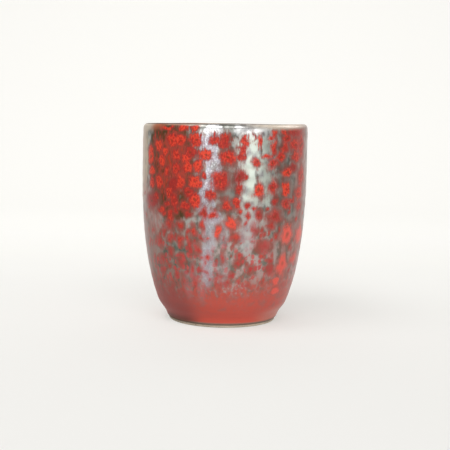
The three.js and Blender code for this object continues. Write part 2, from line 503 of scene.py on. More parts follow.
hidden_sides = scattered(OUTER_TRIES, FRONT_HALF_TURN, FULL_TURN - FRONT_HALF_TURN, OUTER_LOW, HEIGHT)
print("blooms by chance on the sides and back:", len(hidden_sides))

# %% Small blooms by chance, all round
SMALL_BLOOMS = 320
SMALL_LOW, SMALL_RISE = 0.014, 0.05
SMALL_GATHERING = 1.6
SMALL_HALF_WIDTH = (0.0004, 0.0011)
SMALL_STRETCH = (1.0, 1.9)
COVERED_REACH = 1.2


def small_bloom():
    height = SMALL_LOW + SMALL_RISE * chance.beta(SMALL_GATHERING, SMALL_GATHERING)
    half_wide = chance.uniform(*SMALL_HALF_WIDTH)
    turn = chance.uniform(0, FULL_TURN)
    return bloom(turn, height, half_wide, half_wide * chance.uniform(*SMALL_STRETCH))


def apart(turn, other):
    """The angle between two turns, the short way round."""
    return (turn - other + math.pi) % FULL_TURN - math.pi


def covers(large, small):
    """Whether a small bloom lies on a large one."""
    across = apart(small.turn, large.turn) * wall_radius(small.height) / large.half_wide
    return math.hypot(across, (small.height - large.height) / large.half_tall) < COVERED_REACH


small_blooms = [small_bloom() for _ in range(SMALL_BLOOMS)]
small_blooms = [small for small in small_blooms if not any(covers(large, small) for large in front_blooms)]
outer_blooms = small_blooms + hidden_sides + front_blooms
inner_blooms = scattered(INNER_TRIES, 0, FULL_TURN, INNER_LOW, INNER_TOP)
print("small blooms:", len(small_blooms), "and inside the mug:", len(inner_blooms))

# %% [markdown]
# ## Values that the glaze carries
# A mesh can carry a number on each of its points, which its material then reads. Here these say how deep
# inside a bloom a point lies, how bright that bloom is, and whether the point is at its brown heart. Others
# mark patches of the ground: thick and brown, and low on the left painted shade; pale silver, at the front
# also painted highlight; calm without spots; blushed with red; so thin that the clay shows; or a painted
# dark line of shade along the lip. A drawn outline is too smooth, so a bloom's drifts a little.

# %% Values for the blooms
GLAZE_SEGMENTS = 384
HEART_SIZE = 0.42
OUTSIDE_REACH = 2.0
NO_BLOOM = -1.5
WANDER = 0.0005
WANDER_WAVES = 24
FINEST_WAVE = 56


def wander(turn, height):
    """A smooth drift between about -1 and 1, from waves of chance that close round the mug."""
    total = 0
    for _ in range(WANDER_WAVES):
        round_the_mug = chance.integers(-FINEST_WAVE, FINEST_WAVE + 1)
        upwards = chance.uniform(-1, 1) * FINEST_WAVE / WALL_RADIUS
        total = total + np.sin(round_the_mug * turn + upwards * height + chance.uniform(0, FULL_TURN))
    return total / math.sqrt(WANDER_WAVES)


def bloom_layers(profile, blooms):
    """How deep a point lies in a bloom (1 at its middle, 0 at its edge), the bloom's tone, and its heart."""
    columns = turns(GLAZE_SEGMENTS)
    radius, level = profile[:, :1], profile[:, 1:]
    turn = columns + WANDER * wander(columns, level) / np.maximum(radius, WANDER)
    level = level + WANDER * wander(columns, level)
    depth = np.full((len(profile), GLAZE_SEGMENTS), NO_BLOOM)
    tone = np.zeros_like(depth)
    heart = np.zeros_like(depth)
    for one in blooms:
        rows = np.flatnonzero(abs(profile[:, 1] - one.height) < OUTSIDE_REACH * one.half_tall)
        up = (level[rows] - one.height) / one.half_tall
        across = apart(turn[rows], one.turn) * radius[rows]
        across /= one.half_wide * (1 - one.taper * np.clip(up, -1, 1))
        petals = 1 + one.petal_depth * np.cos(one.petals * np.arctan2(up, across) + one.petal_turn)
        inside = 1 - np.hypot(across, up) / petals
        nearer = inside > depth[rows]
        depth[rows] = np.where(nearer, inside, depth[rows])
        tone[rows] = np.where(nearer, one.tone, tone[rows])
        heart[rows] = np.where(nearer, one.heart * smoothstep(inside, 1 - HEART_SIZE, 1), heart[rows])
    return {"bloom": depth, "tone": tone, "heart": heart}


# %% Values for the patches of the ground
# Turn in degrees from the front, height, half the turn, half the height, and a strength where it isn't 1
Patch = namedtuple("Patch", "turn height half_turn half_tall strength", defaults=(1.0,))
PATCHES = {
    "thick_and_shade": [
        (-37, 0.078, 19, 0.022), (-50, 0.082, 13, 0.026, 0.88), (-36, 0.062, 20, 0.012, 0.9),
        # The patch at -52 degrees, low on the left, is painted shade on the satin foot.
        (-52, 0.010, 30, 0.018, 0.8), (150, 0.072, 30, 0.028), (215, 0.084, 22, 0.020),
    ],
    # The pale patches at the front, from -27 to 29 degrees and at -78 on the left edge, are partly painted
    # highlight where the bands of light fall; those round the sides and back are the lustre's own.
    "pale_and_highlight": [
        (-8, 0.0935, 7, 0.004), (-15, 0.090, 6, 0.005, 0.6), (-11, 0.085, 7, 0.007),
        (-7, 0.077, 6, 0.007, 0.85), (-11, 0.069, 5, 0.007, 0.9), (-15, 0.061, 5, 0.006, 0.9),
        (-9, 0.059, 4, 0.005, 0.6), (-8, 0.054, 8, 0.004, 0.9), (-9, 0.045, 5, 0.009, 0.8),
        (-11, 0.034, 5, 0.010, 0.9), (-11, 0.027, 5, 0.007, 0.95), (-22, 0.027, 4, 0.007, 0.25),
        (0, 0.046, 4, 0.007, 0.5), (0, 0.030, 5, 0.008, 0.35), (-27, 0.022, 4, 0.008, 0.25),
        (-16, 0.021, 4, 0.008, 0.25), (18, 0.094, 14, 0.005), (16, 0.084, 9, 0.010),
        (14, 0.073, 7, 0.010), (16, 0.062, 7, 0.008), (29, 0.074, 8, 0.017, 0.7),
        (29, 0.089, 6, 0.006, 0.8), (18, 0.053, 6, 0.008), (16, 0.045, 6, 0.008, 0.85),
        (-78, 0.084, 15, 0.028), (92, 0.070, 13, 0.050), (120, 0.080, 16, 0.030),
        (178, 0.060, 14, 0.040), (-110, 0.075, 10, 0.035), (-150, 0.055, 16, 0.030),
    ],
    "calm": [
        (52, 0.048, 22, 0.034), (42, 0.076, 7, 0.020, 0.9), (4, 0.067, 8, 0.012, 0.9),
        (-71, 0.036, 14, 0.026), (140, 0.040, 30, 0.026),
    ],
    "blush": [
        (-73, 0.040, 18, 0.024, 0.85), (-60, 0.053, 14, 0.014, 0.9), (-70, 0.056, 12, 0.016, 0.9),
        (-80, 0.080, 11, 0.028, 0.2), (14, 0.050, 9, 0.010, 0.25), (66, 0.072, 13, 0.040, 0.8),
        (160, 0.034, 40, 0.020, 0.7),
    ],
    "thin": [
        (70, 0.004, 34, 0.006, 0.3), (44, HEIGHT, 32, 0.0026), (-64, HEIGHT, 20, 0.0038),
        (-86, HEIGHT, 8, 0.0026), (-36, HEIGHT, 26, 0.0010), (112, HEIGHT, 20, 0.0022),
        (190, HEIGHT, 36, 0.0026),
    ],
    # Painted shade: a dark line along the crest of the lip.
    "lip_shade_and_foot_edge": [(-42, HEIGHT, 52, 0.0005), (150, HEIGHT, 40, 0.0005)],
}
PATCH_HEART = 0.55
PATCH_EDGE = 1.25


def patch_layer(profile, patches):
    """1 inside the patches, falling to 0 round them."""
    share = np.zeros((len(profile), GLAZE_SEGMENTS))
    for patch in (Patch(*numbers) for numbers in patches):
        sideways = apart(turns(GLAZE_SEGMENTS), math.radians(patch.turn)) / math.radians(patch.half_turn)
        reach = np.hypot(sideways, (profile[:, 1:] - patch.height) / patch.half_tall)
        share = np.maximum(share, patch.strength * (1 - smoothstep(reach, PATCH_HEART, PATCH_EDGE)))
    return share


print("patches:", {layer: len(patches) for layer, patches in PATCHES.items()})

# %% [markdown]
# ## The three pieces
# Blooms stand a few hundredths of a millimetre proud of the glaze, and the inside keeps the spiral of the
# potter's fingers. The foot was trimmed with a loop tool, which leaves fine grooves in the bare clay. A face
# that another piece hides needs fewer rows.

# %% Relief of the pieces
HIDDEN_STRIDE = 6


def run_length(run):
    steps = np.linalg.norm(np.diff(run, axis=0), axis=1)
    return np.concatenate([[0], np.cumsum(steps)])[:, None]


def spiral(run, segments, pitch):
    """A wave that climbs one pitch in each turn, from -1 to 1."""
    return np.sin(FULL_TURN * run_length(run) / pitch - turns(segments))


def faded_ends(run, reach):
    """1 along a run, and 0 at its two ends."""
    length = run_length(run)
    return smoothstep(length, 0, reach) * smoothstep(length[-1] - length, 0, reach)


def padded_rows(values, rows):
    """The same values with rows of zeros added, for the faces that another piece hides."""
    return np.vstack([values, np.zeros((rows - len(values), values.shape[1]))])


def hidden_rows(run):
    return np.vstack([run[:-1:HIDDEN_STRIDE], run[-1:]])


# %% Stoneware
CLAY_SEGMENTS = 192
TOOL_PITCH, TOOL_RELIEF, TOOL_PLAIN_END = 0.0013, 0.00003, 0.002


def make_stoneware():
    profile = joined(foot, hidden_rows(outside), hidden_rows(inside))
    grooves = TOOL_RELIEF * faded_ends(foot, TOOL_PLAIN_END) * (spiral(foot, CLAY_SEGMENTS, TOOL_PITCH) - 1)
    return turned("stoneware", profile, CLAY_SEGMENTS, padded_rows(grooves, len(profile)))


stoneware = make_stoneware()

# %% The two coats
BLOOM_RELIEF = 0.00004
BLOOM_RISE = (-0.1, 0.5)
Rings = namedtuple("Rings", "pitch relief plain_end")
OUTER_RINGS = Rings(0.0056, 0.00003, 0.005)
INNER_RINGS = Rings(0.0066, 0.00013, 0.008)
INNER_PATCHES_FROM = (0.040, 0.065)


def make_coat(name, run, face, blooms, rings, patches_from=None):
    """A coat over a run of the clay; its patches lie only above the heights in patches_from."""
    profile = np.vstack([face, hidden_rows(pushed(run, BOND_GAP))[::-1]])
    layers = bloom_layers(profile, blooms)
    upper = smoothstep(profile[:, 1:], *patches_from) if patches_from else 1.0
    for layer, patches in PATCHES.items():
        layers[layer] = patch_layer(profile, patches) * upper
    raised = BLOOM_RELIEF * smoothstep(layers["bloom"][: len(face)], *BLOOM_RISE)
    ridges = rings.relief * spiral(face, GLAZE_SEGMENTS, rings.pitch)
    relief = padded_rows(faded_ends(face, rings.plain_end) * (raised + ridges), len(profile))
    return turned(name, profile, GLAZE_SEGMENTS, relief, closed=True, layers=layers)


outer_coat = make_coat("outer_coat", outside, outer_face, outer_blooms, OUTER_RINGS)
inner_coat = make_coat("inner_coat", inside, inner_face, inner_blooms, INNER_RINGS, INNER_PATCHES_FROM)

# %% [markdown]
# ## The stage
# A sheet of pale paper lies under the mug and sweeps up behind it. What the camera sees of the paper is
# partly its own colour and partly the light on it, so it stays pale and still takes a soft shadow.

# %% Paper sweep
PAPER_WIDTH = 4.0
PAPER_FRONT = -1.6
SWEEP_START = 0.55
SWEEP_RADIUS = 0.45
PAPER_TOP = 1.8
SWEEP_STEPS = 32


def paper_sweep():
    turn = np.linspace(0, math.pi / 2, SWEEP_STEPS + 1)
    depth = SWEEP_START + SWEEP_RADIUS * np.sin(turn)
    rise = SWEEP_RADIUS * (1 - np.cos(turn))
    line = [(PAPER_FRONT, 0), *zip(depth.tolist(), rise.tolist()), (SWEEP_START + SWEEP_RADIUS, PAPER_TOP)]
    side = PAPER_WIDTH / 2
    points = [(x, y, z) for y, z in line for x in (-side, side)]
    faces = [(2 * i, 2 * i + 1, 2 * i + 3, 2 * i + 2) for i in range(len(line) - 1)]
    mesh = bpy.data.meshes.new("paper")
    mesh.from_pydata(points, [], faces)
    mesh.shade_smooth()
    sheet = bpy.data.objects.new("paper", mesh)
    bpy.context.scene.collection.objects.link(sheet)
    return sheet


paper = paper_sweep()
print("paper sweep:", len(paper.data.polygons), "faces")

# %% [markdown]
# ## Helpers for materials
# A node material is a small graph. Written out link by link it is hard to read, so what a node puts out is a
# Value here. Values add, subtract and multiply like numbers, and each sum adds its node to the graph. Colours
# are given as on a screen, from 0 to 255.

# %% Values and nodes
class Value:
    """One thing that a node puts out."""

    def __init__(self, socket):
        self.socket = socket

    def __add__(self, other):
        return maths("ADD", self, other)

    def __sub__(self, other):
        return maths("SUBTRACT", self, other)

    def __rsub__(self, other):
        return maths("SUBTRACT", other, self)

    def __mul__(self, other):
        return maths("MULTIPLY", self, other)


class Outputs:
    """All that a node puts out, each reached by name or by number."""

    def __init__(self, sockets):
        self.sockets = sockets

    def __getitem__(self, key):
        return Value(self.sockets[key])


def linear(colour):
    """A colour of the screen as the linear colour that a shader takes."""
    seen = np.array(colour) / 255
    return (*np.where(seen <= 0.04045, seen / 12.92, ((seen + 0.055) / 1.055) ** 2.4).tolist(), 1.0)


def fill(socket, value):
    """Links a socket to a Value, or sets it to a plain number or colour."""
    if isinstance(value, Value):
        socket.id_data.links.new(value.socket, socket)
    else:
        socket.default_value = linear(value) if socket.type == "RGBA" else value


def node(tree, kind, sockets=None, **settings):
    """Adds a node, fills its sockets, and returns what it puts out."""
    made = tree.nodes.new(kind)
    for name, value in settings.items():
        setattr(made, name, value)
    for name, value in (sockets or {}).items():
        fill(made.inputs[name], value)
    return Outputs(made.outputs)


def tree_of(*values):
    """The graph that the Values among some values belong to."""
    return next(value.socket.id_data for value in values if isinstance(value, Value))


# %% Sums, eases and mixes
def maths(operation, a, b=0.0, clamp=False):
    sockets = {0: a, 1: b}
    return node(tree_of(a, b), "ShaderNodeMath", sockets, operation=operation, use_clamp=clamp)[0]


def largest(first, *others):
    for other in others:
        first = maths("MAXIMUM", first, other)
    return first


def rest(value):
    """What is left of 1."""
    return maths("SUBTRACT", 1.0, value, clamp=True)


def ease(value, low, high, bottom=0.0, top=1.0):
    """Runs smoothly from bottom to top as value goes from low to high."""
    sockets = {"Value": value, "From Min": low, "From Max": high, "To Min": bottom, "To Max": top}
    return node(tree_of(value), "ShaderNodeMapRange", sockets, interpolation_type="SMOOTHSTEP")["Result"]


def fade(value, high, low):
    """Runs smoothly from 0 to 1 as value falls from high to low."""
    return rest(ease(value, low, high))


def mix_value(share, a, b):
    return node(tree_of(share, a, b), "ShaderNodeMix", {0: share, 2: a, 3: b}, data_type="FLOAT")[0]


def layered(colour, *coats):
    """A colour with coats laid over it in turn, each a share and a colour."""
    for share, coat in coats:
        sockets = {0: share, 6: colour, 7: coat}
        colour = node(tree_of(share, colour), "ShaderNodeMix", sockets, data_type="RGBA")[2]
    return colour


# %% Textures, with grains of a size across and along the mug's axis
def scaled(place, across, along):
    sockets = {0: place, 1: (1 / across, 1 / across, 1 / along)}
    return node(tree_of(place), "ShaderNodeVectorMath", sockets, operation="MULTIPLY")[0]


def noise(place, across, along, detail=2.0):
    """Noise from 0 to 1."""
    sockets = {"Vector": scaled(place, across, along), "Scale": 1.0, "Detail": detail}
    return node(tree_of(place), "ShaderNodeTexNoise", sockets)[0]


def drift(place, across, along, detail=2.0):
    """Noise from -0.5 to 0.5."""
    return noise(place, across, along, detail) - 0.5


def cells(place, across, along):
    """A cell pattern: how far each point is from its cell's seed, and a random number for the cell."""
    tree = tree_of(place)
    made = node(tree, "ShaderNodeTexVoronoi", {"Vector": scaled(place, across, along), "Scale": 1.0})
    return made["Distance"], node(tree, "ShaderNodeSeparateColor", {0: made["Color"]})[0]


# %% Materials and groups
Here = namedtuple("Here", "place sideways back height")


def here_at(place):
    """A place on the object, and its three parts."""
    parts = node(tree_of(place), "ShaderNodeSeparateXYZ", {0: place})
    return Here(place, parts["X"], parts["Y"], parts["Z"])


def new_material(name):
    """A material with an empty graph; returns it, the graph, where a point lies, and the surface to fill."""
    material = bpy.data.materials.new(name)
    material.use_nodes = True
    tree = material.node_tree
    tree.nodes.clear()
    output = tree.nodes.new("ShaderNodeOutputMaterial")
    return material, tree, here_at(node(tree, "ShaderNodeTexCoord")["Object"]), output.inputs["Surface"]


def fill_surface(surface, looks, bump_height, bump_strength, bump_depth):
    """Gives a material its shader, with some looks and a fine bump."""
    tree = surface.id_data
    sockets = {"Height": bump_height, "Strength": bump_strength, "Distance": bump_depth}
    bump = node(tree, "ShaderNodeBump", sockets)[0]
    fill(surface, node(tree, "ShaderNodeBsdfPrincipled", {**looks, "Normal": bump})[0])


def new_group(name, inputs, outputs):
    """An empty shader group with named sockets; returns its tree, what it is given and what it gives."""
    tree = bpy.data.node_groups.new(name, "ShaderNodeTree")
    for direction, sockets in (("INPUT", inputs), ("OUTPUT", outputs)):
        for socket, kind in sockets.items():
            tree.interface.new_socket(socket, in_out=direction, socket_type="NodeSocket" + kind)
    given = Outputs(tree.nodes.new("NodeGroupInput").outputs)
    return tree, given, tree.nodes.new("NodeGroupOutput").inputs


# %% Paper material
PAPER_COLOUR, PAPER_GLOW = (168, 167, 165), (255, 254, 249)
GLOW_FROM, GLOW_TO = -0.3, 0.5
GLOW_NEAR, GLOW_FAR = 0.42, 0.69


def paper_material():
    material, tree, here, surface = new_material("paper")
    glow = ease(here.back + here.height, GLOW_FROM, GLOW_TO, GLOW_NEAR, GLOW_FAR)
    path = node(tree, "ShaderNodeLightPath")
    looks = largest(path["Is Camera Ray"], path["Is Glossy Ray"], path["Is Transmission Ray"])
    lit = node(tree, "ShaderNodeBsdfDiffuse", {"Color": PAPER_COLOUR})[0]
    own = node(tree, "ShaderNodeEmission", {"Color": PAPER_GLOW, "Strength": glow * looks})[0]
    fill(surface, node(tree, "ShaderNodeAddShader", {0: lit, 1: own})[0])
    return material


paper.data.materials.append(paper_material())
print("paper:", len(paper.active_material.node_tree.nodes), "nodes")

# %% [markdown]
# ## Bare clay
# Stoneware is a buff clay with sand and flecks of iron in it. The grain shows on the bare foot, and again
# where the glaze is thin, so it is a group that both finishes use. Just below the glaze the clay is stained.

# %% Clay grain
DARK_BUFF, PALE_BUFF, SAND, IRON = (186, 168, 146), (208, 192, 170), (224, 212, 194), (74, 56, 46)
SAND_GRAIN, CLAY_CLOUD, IRON_CELL = (0.0005, 0.0005), (0.006, 0.003), (0.0011, 0.0011)


def clay_grain():
    tree, given, gives = new_group(
        "clay_grain", {"Place": "Vector"}, {"Colour": "Color", "Speck": "Float", "Height": "Float"})
    place = given["Place"]
    sand = noise(place, *SAND_GRAIN, detail=4.0)
    distance, which = cells(place, *IRON_CELL)
    speck = fade(distance, 0.34, 0.18) * ease(which, 0.72, 0.8)
    colour = layered(
        DARK_BUFF,
        (ease(noise(place, *CLAY_CLOUD), 0.3, 0.7), PALE_BUFF),
        (ease(sand, 0.35, 0.7, 0.0, 0.45), SAND),
        (speck * 0.75, IRON),
    )
    fill(gives["Colour"], colour)
    fill(gives["Speck"], speck)
    fill(gives["Height"], sand)
    return tree


grain_group = clay_grain()
print("clay grain:", len(grain_group.nodes), "nodes")

# %% Clay material
STAIN = (88, 66, 52)
STAIN_RADII = (FOOT_RADIUS - 0.0008, FOOT_RADIUS - 0.0002)
STAIN_HEIGHTS = (0.0008, 0.0014)
STAIN_STRENGTH = 0.8
CLAY_ROUGHNESS, IRON_ROUGHNESS = 0.85, 0.5
CLAY_BUMP_STRENGTH, CLAY_BUMP_DEPTH = 0.7, 0.0001


def bare_clay():
    material, tree, here, surface = new_material("bare_clay")
    grain = node(tree, "ShaderNodeGroup", {"Place": here.place}, node_tree=grain_group)
    radius = maths("SQRT", here.sideways * here.sideways + here.back * here.back)
    stain = ease(radius, *STAIN_RADII) * ease(here.height, *STAIN_HEIGHTS, 0.0, STAIN_STRENGTH)
    looks = {
        "Base Color": layered(grain["Colour"], (stain, STAIN)),
        "Roughness": mix_value(grain["Speck"], CLAY_ROUGHNESS, IRON_ROUGHNESS),
    }
    fill_surface(surface, looks, grain["Height"], CLAY_BUMP_STRENGTH, CLAY_BUMP_DEPTH)
    return material


stoneware.data.materials.append(bare_clay())
print("bare clay:", len(stoneware.active_material.node_tree.nodes), "nodes")

# %% [markdown]
# ## The glaze
# The ground is a silvery lustre, a metal-like skin. On it lie the blooms, an opaque red, and low down the red
# runs together into one satin coat, with flecks of the ground left in it and crimson spots above it. The
# edges of a bloom are feathered along the way the melt ran, so a noise stretched upright is added to its
# depth. A pair of heights or sideways places says where a change starts and where it is complete; a pair of
# grain sizes goes across and along. The same group serves outside and inside.

# %% Shape of a bloom
FEATHERS, TATTERS = (0.0006, 0.0026), (0.0004, 0.0006)
SPIKES_LEFT, SPIKES_RIGHT, SPIKES_UP = (-0.020, -0.014), (0.026, 0.020), (0.078, 0.090)
FEATHER_DEPTH, SPIKE_DEPTH, TATTER_DEPTH = 0.8, 2.4, 0.7
UPPER_HALF = (0.035, 0.070)
LEFT_TO_MIDDLE = (-0.014, -0.004)
SHRUNK_RIGHT_UP = (0.045, 0.060)
SHRUNK_LOW_DOWN, SHRUNK_LOW_LEFT = (0.060, 0.042), (0.024, 0.012)
ABOVE_FOOT, ABOVE_FOOT_BRIGHT = (0.012, 0.030), (0.007, 0.014)
BELOW_CREST = (HEIGHT - 0.0003, HEIGHT - 0.0014)


def bloom_depth(here, bloom_value):
    """Depth inside a bloom, with edges made ragged by the run of the glaze, and spiky by the lip."""
    middle = ease(here.sideways, *SPIKES_LEFT) * fade(here.sideways, *SPIKES_RIGHT)
    spikes = mix_value(middle * ease(here.height, *SPIKES_UP), FEATHER_DEPTH, SPIKE_DEPTH)
    feathered = bloom_value + drift(here.place, *FEATHERS) * spikes
    return feathered + drift(here.place, *TATTERS, detail=3.0) * TATTER_DEPTH


def bloom_share(here, depth, tone, right):
    """How far the red covers the ground: crisp at the rim, softer and smaller lower down."""
    softness = ease(here.height, *UPPER_HALF, 0.70, 0.45) * (1.3 - tone * 0.5)
    softness = softness * mix_value(ease(tone, 0.95, 1.1), mix_value(right, 1.0, 1.3), 0.7)
    edge = depth + ease(here.height, *UPPER_HALF, -0.08, 0.17)
    edge = edge - ease(here.sideways, *LEFT_TO_MIDDLE, 0.0, 0.11)
    edge = edge - right * ease(here.height, *SHRUNK_RIGHT_UP) * 0.09
    low = fade(here.height, *SHRUNK_LOW_DOWN) * fade(tone, 1.0, 0.85) * fade(here.sideways, *SHRUNK_LOW_LEFT)
    edge = edge - low * 0.32
    red = ease(edge, softness * -1.0, softness)
    kept = ease(here.height, *ABOVE_FOOT)
    kept = mix_value(ease(tone, 0.7, 0.9), kept, ease(here.height, *ABOVE_FOOT_BRIGHT))
    return red * kept * fade(here.height, *BELOW_CREST)


# %% Colour of a bloom
BODY_DIM, BODY_BRIGHT = (148, 40, 34), (196, 46, 32)
STREAK_DIM, STREAK_BRIGHT = (186, 58, 44), (226, 68, 42)
DARK_DIM, DARK_BRIGHT = (128, 36, 34), (156, 34, 28)
FAINT_RED, CORAL, FRINGE_MAROON = (190, 68, 64), (238, 98, 84), (112, 46, 44)
SEED_BROWN, CORE_OLIVE, HEART_BROWN = (96, 44, 28), (108, 52, 24), (122, 74, 50)
STREAKS, SEEDS = (0.0009, 0.0012), (0.0017, 0.0017)
CRISP_UP, CORAL_DOWN = (0.030, 0.065), (0.062, 0.052)


def bloom_paint(here, given, depth, right):
    """The red of a bloom: a maroon fringe, streaks of orange and dark red, olive seeds, and a brown heart."""
    tone = given["Tone"]
    crisp = largest(ease(here.height, *CRISP_UP), ease(tone, 0.95, 1.1, 0.0, 0.6))
    streak = noise(here.place, *STREAKS)
    distance, which = cells(here.place, *SEEDS)
    seed = fade(distance, 0.40, 0.2) * ease(which, 0.5, 0.6) * ease(depth, 0.2, 0.45)
    low_coral = rest(crisp) * ease(tone, 0.8, 1.0)
    right_coral = right * ease(tone, 0.85, 1.0) * fade(here.height, *CORAL_DOWN) * 0.85
    fringe = fade(depth, mix_value(right, 0.36, 0.24), -0.26) * crisp * rest(given["Thick_And_Shade"] * 0.3)
    return layered(
        BODY_DIM,
        (tone, BODY_BRIGHT),
        (ease(streak + (tone - 0.6) * 0.25, 0.46, 0.68), layered(STREAK_DIM, (tone, STREAK_BRIGHT))),
        (rest(crisp) * (1.1 - tone), FAINT_RED),
        (fade(streak, 0.43, 0.30) * crisp * 0.9, layered(DARK_DIM, (tone, DARK_BRIGHT))),
        (seed * crisp * 0.45, SEED_BROWN),
        (ease(given["Bloom"], 0.70, 0.88) * crisp * 0.65, CORE_OLIVE),
        (largest(low_coral, right_coral), CORAL),
        (fringe, FRINGE_MAROON),
        (given["Heart"] * 0.75, HEART_BROWN),
    )


# %% Silver ground
# The near-white lip silver is a painted highlight below the lip; the left and right silvers take the lavender
# and green tints of the two bands of light.
SILVER_LEFT, SILVER_RIGHT, PAINTED_LIP_HIGHLIGHT = (174, 178, 187), (190, 198, 188), (236, 236, 234)
# The warm silvers at the far left are a painted reflection along that edge.
DEEP_SILVER, EDGE_REFLECTION_SILVER, EDGE_REFLECTION_DEEP = (150, 148, 148), (176, 158, 136), (152, 136, 118)
# The bright sparks are painted glints in the left band of light.
PAINTED_GLINT, SPARK_DARK = (232, 236, 240), (122, 118, 136)
PEWTER_DARK, PEWTER = (94, 94, 86), (176, 176, 170)
# The darker olive and rose for the left side are painted shade.
OLIVE, OLIVE_SHADED_LEFT, ROSE, ROSE_SHADED_LEFT = (118, 114, 102), (82, 90, 76), (182, 155, 149), (130, 106, 93)
PATCH_TATTERS, MOTTLE, SPARKS = (0.0020, 0.0036), (0.0036, 0.0050), (0.0006, 0.0008)
TO_RIGHT, SHADE_TO_LEFT, TO_FAR_LEFT = (-0.003, 0.007), (-0.006, -0.018), (-0.032, -0.035)
SPECKLED_LEFT, SPECKLED_RIGHT = (-0.030, -0.026), (0.008, 0.0)
PATCH_CRISP_UP, BELOW_LIP = (0.045, 0.070), (0.0890, 0.0945)


def ragged_edge(here, share):
    """A smooth patch, broken up at its edge as a melt breaks up, and softer low down."""
    low = ease(here.height, *PATCH_CRISP_UP, 0.10, 0.30)
    high = ease(here.height, *PATCH_CRISP_UP, 1.10, 0.60)
    return ease(share + drift(here.place, *PATCH_TATTERS, detail=4.0) * 1.5, low, high)


def silver_paint(here, haze, pale_and_highlight, calm):
    """Lustre between the blooms: mottled pewter, brighter in pale patches (at the front partly painted
    highlight), and rosy low down, painted darker on the left as shade.
    """
    mottle = noise(here.place, *MOTTLE, detail=3.0)
    spark = noise(here.place, *SPARKS)
    left, edge_reflection = fade(here.sideways, *SHADE_TO_LEFT), fade(here.sideways, *TO_FAR_LEFT)
    speckled = fade(here.sideways, *SPECKLED_RIGHT) * ease(here.sideways, *SPECKLED_LEFT)
    clear = layered(
        SILVER_LEFT,
        (ease(here.sideways, *TO_RIGHT), SILVER_RIGHT),
        # Painted highlight: near-white just below the lip.
        (ease(here.height, *BELOW_LIP), PAINTED_LIP_HIGHLIGHT),
        # Painted reflection: warm silver along the far left edge.
        (edge_reflection, EDGE_REFLECTION_SILVER),
    )
    bright = layered(
        DEEP_SILVER,
        # Painted reflection at the far left edge.
        (edge_reflection, EDGE_REFLECTION_DEEP),
        (ease(mottle, 0.32, 0.54), clear),
        # Painted glints, with dark specks between them, in the left band of light.
        (speckled * ease(spark, 0.52, 0.70, 0.0, 0.6), PAINTED_GLINT),
        (speckled * ease(spark, 0.30, 0.46, 0.6, 0.0), SPARK_DARK),
    )
    # Painted shade: the rosy and olive ground is darker on the left side.
    rose = layered(ROSE, (left, ROSE_SHADED_LEFT))
    rosy = layered(OLIVE, (left, OLIVE_SHADED_LEFT), (ease(mottle, 0.38, 0.6), rose))
    shine = ease(mottle, 0.34, 0.60) * rest(calm * 0.6)
    return layered(PEWTER_DARK, (shine, PEWTER), (pale_and_highlight, bright), (haze * 0.8, rosy))


# %% Thick ground and satin foot
OLIVE_BROWN, RED_BROWN, RUST, THICK_RED = (72, 52, 18), (112, 46, 20), (138, 60, 36), (190, 52, 32)
THICK_CLOUD, THICK_STREAKS, THICK_TATTERS = (0.0014, 0.0034), (0.0006, 0.0030), (0.0018, 0.0050)
# The bevel red is painted light, brighter than the satin above it.
SATIN_ROSE, SATIN_RED, BEVEL_PAINTED_LIGHT = (180, 98, 88), (202, 88, 74), (220, 92, 75)
# The maroon and foot brown are painted shade where the patch lies low on the left.
SATIN_HIGH, SHADED_SATIN_MAROON, SHADED_FOOT_BROWN = (180, 88, 78), (157, 77, 72), (84, 56, 46)
SATIN_CLOUD, FLECKS, BLUSH_MOTTLE = (0.0050, 0.0030), (0.0010, 0.0022), (0.0016, 0.0045)
BEVEL_DOWN, SATIN_UP, FOOT_DOWN = (0.011, 0.006), (0.018, 0.040), (0.0060, 0.0025)
THICK_UP, FLECKS_UP, BLUSH_DOWN = (0.022, 0.040), (0.010, 0.022), (0.034, 0.014)


def thick_share(here, thick_and_shade):
    ragged = thick_and_shade * (drift(here.place, *THICK_TATTERS, detail=4.0) * 2.0 + 1.0)
    return ease(ragged, 0.2, 0.75) * ease(here.height, *THICK_UP)


def thick_paint(here, thick_and_shade):
    """Brown, olive and red streaks where the coat is thick, with more red at the heart of a thick patch."""
    cloud = noise(here.place, *THICK_CLOUD, detail=4.0) + (thick_and_shade - 0.94) * 1.4
    red = layered(RUST, (ease(noise(here.place, *THICK_STREAKS), 0.40, 0.58), THICK_RED))
    return layered(OLIVE_BROWN, (ease(cloud, 0.34, 0.44), RED_BROWN), (ease(cloud, 0.44, 0.60), red))


def satin_and_blush(here, given, pale_and_highlight, right):
    """Shares of the satin coat and of the blush above it, both broken by flecks of the ground."""
    fleck = ease(noise(here.place, *FLECKS, detail=3.0), 0.49, 0.62)
    unbroken = rest(fleck * ease(here.height, *FLECKS_UP) * rest(right * 0.6) * 0.8)
    mottled = ease(noise(here.place, *BLUSH_MOTTLE, detail=3.0), 0.36, 0.60, 0.45, 1.0)
    blush = largest(given["Blush"] * mottled, fade(here.height, *BLUSH_DOWN) * unbroken)
    return given["Satin"] * rest(pale_and_highlight * 0.7) * unbroken, blush


def satin_paint(here, thick_and_shade):
    """The plain satin red of the foot, paler higher up, painted brighter on the bevel as light, and painted
    maroon and brown as shade low on the left.
    """
    return layered(
        SATIN_ROSE,
        (ease(noise(here.place, *SATIN_CLOUD, detail=1.0), 0.28, 0.58), SATIN_RED),
        # Painted light: the bevel is brighter.
        (fade(here.height, *BEVEL_DOWN), BEVEL_PAINTED_LIGHT),
        (ease(here.height, *SATIN_UP), SATIN_HIGH),
        # Painted shade: maroon, and brown near the foot, low on the left.
        (thick_and_shade, SHADED_SATIN_MAROON),
        (thick_and_shade * fade(here.height, *FOOT_DOWN) * 0.8, SHADED_FOOT_BROWN),
    )


